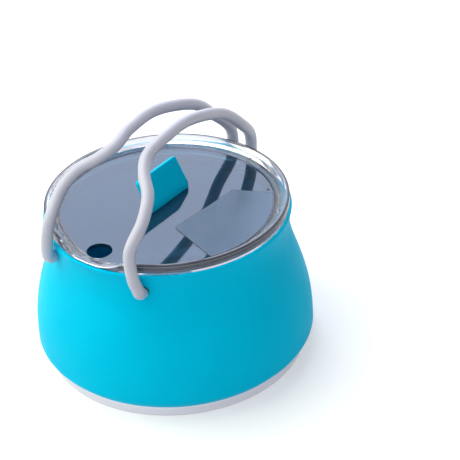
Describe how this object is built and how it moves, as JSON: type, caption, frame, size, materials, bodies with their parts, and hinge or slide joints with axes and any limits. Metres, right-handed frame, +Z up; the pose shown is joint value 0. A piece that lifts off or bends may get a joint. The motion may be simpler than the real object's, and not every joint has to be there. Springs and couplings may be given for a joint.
{
  "type": "collapsible_kettle",
  "caption": "Camping kettle with a folding silicone body on a metal base pan, smoked lid with pull tab, and two sleeved wire handles",
  "frame": {"origin": "the middle of the pan's underside, on the surface that the kettle stands on", "axes": "+Z up, -Y towards the spout, +X to the right with the spout towards the viewer"},
  "size_m": [0.1506, 0.1506, 0.1398],
  "materials": {
    "pan_metal": "satin",
    "silicone": "satin turquoise silicone",
    "dark_plastic": "matte",
    "wire_steel": "drawn wire",
    "sleeve": "satin grey",
    "smoked_lid": "clear smoked, glossy",
    "frosted_film": "frosted"
  },
  "bodies": {
    "base": {"base_pan": "pan_metal", "silicone_wall_lower": "silicone", "silicone_wall_fold": "silicone"},
    "collar": {"silicone_collar": "silicone", "stiffening_ring": "dark_plastic", "front_left_bush": "dark_plastic", "rear_left_bush": "dark_plastic", "front_right_bush": "dark_plastic", "rear_right_bush": "dark_plastic"},
    "left_handle": {"left_handle_wire": "wire_steel", "left_handle_sleeve": "sleeve", "front_left_retainer": "wire_steel", "rear_left_retainer": "wire_steel"},
    "right_handle": {"right_handle_wire": "wire_steel", "right_handle_sleeve": "sleeve", "front_right_retainer": "wire_steel", "rear_right_retainer": "wire_steel"},
    "lid": {"lid_shell": "smoked_lid", "lid_label": "frosted_film", "pull_tab_foot": "silicone"},
    "tab": {"pull_tab": "silicone"}
  },
  "joints": [
    {"name": "collapse", "type": "slide", "parent": "base", "child": "collar", "axis": [0, 0, -1], "range_m": [0, 0.04], "deforming": ["silicone_wall_fold"]},
    {"name": "left_handle_swing", "type": "hinge", "parent": "collar", "child": "left_handle", "pos_m": [-0.0295, -0.05736, 0.0764], "axis": [-0.1652, -0.9863, 0], "range_deg": [-5, 90]},
    {"name": "right_handle_swing", "type": "hinge", "parent": "collar", "child": "right_handle", "pos_m": [0.0295, -0.05736, 0.0764], "axis": [-0.202, 0.9794, 0], "range_deg": [-5, 90]},
    {"name": "lid_lift", "type": "slide", "parent": "collar", "child": "lid", "axis": [0, 0, 1], "range_m": [0, 0.004]},
    {"name": "tab_fold", "type": "hinge", "parent": "lid", "child": "tab", "pos_m": [-0.0024, 0.004, 0.0895], "axis": [0, -1, 0], "range_deg": [-119, 61]}
  ]
}
